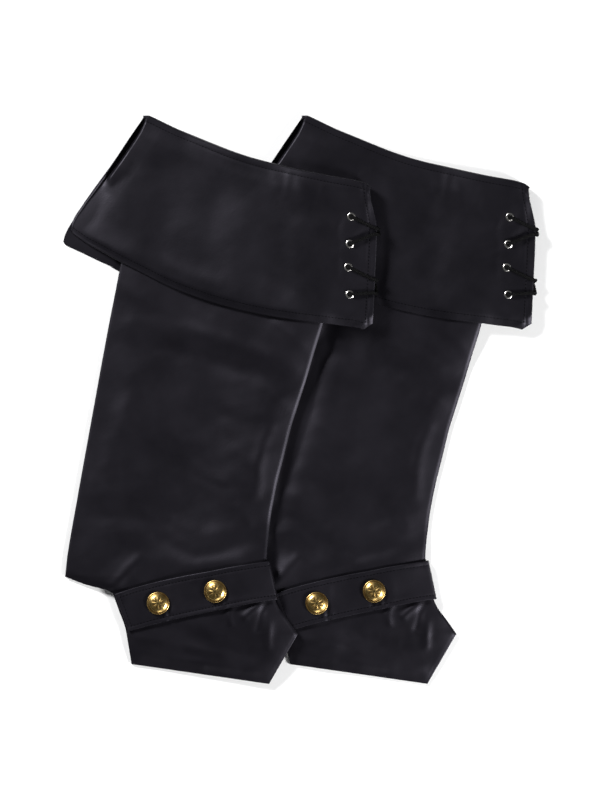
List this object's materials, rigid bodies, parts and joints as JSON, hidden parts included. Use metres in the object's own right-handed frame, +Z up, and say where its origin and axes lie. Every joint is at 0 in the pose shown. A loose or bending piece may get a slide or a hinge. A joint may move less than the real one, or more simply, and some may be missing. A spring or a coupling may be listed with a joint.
{
  "type": "pair of boot covers",
  "caption": "Pair of black faux-leather boot covers laid flat and overlapping, with turned-down laced cuffs, open foot flaps, instep straps and domed brass buttons",
  "frame": {"origin": "centre of the bounding box's bottom, on the surface that the pair lies on", "axes": "+Z up from the surface, +Y from the foot flaps toward the cuffs, +X toward the shin side, where the cuffs are laced"},
  "size_m": [0.4276, 0.5112, 0.0243],
  "materials": {
    "leather": "smooth coated faux leather, semi-matt",
    "brass": "antiqued, worn bright on the dome",
    "steel": "nickel-plated, bright",
    "cord": "round braided black cord"
  },
  "bodies": {
    "root": {"left_leg_outer": "leather", "left_leg_inner": "leather", "left_cuff_outer": "leather", "left_cuff_inner": "leather", "left_strap": "leather", "left_button_heel": "brass", "left_button_instep": "brass", "left_eyelet_outer_1": "steel", "left_eyelet_outer_2": "steel", "left_eyelet_outer_3": "steel", "left_eyelet_outer_4": "steel", "left_eyelet_inner_1": "steel", "left_eyelet_inner_2": "steel", "left_eyelet_inner_3": "steel", "left_eyelet_inner_4": "steel", "left_lace": "cord", "right_leg_outer": "leather", "right_leg_inner": "leather", "right_cuff_outer": "leather", "right_cuff_inner": "leather", "right_strap": "leather", "right_button_heel": "brass", "right_button_instep": "brass", "right_eyelet_outer_1": "steel", "right_eyelet_outer_2": "steel", "right_eyelet_outer_3": "steel", "right_eyelet_outer_4": "steel", "right_eyelet_inner_1": "steel", "right_eyelet_inner_2": "steel", "right_eyelet_inner_3": "steel", "right_eyelet_inner_4": "steel", "right_lace": "cord"}
  },
  "joints": []
}
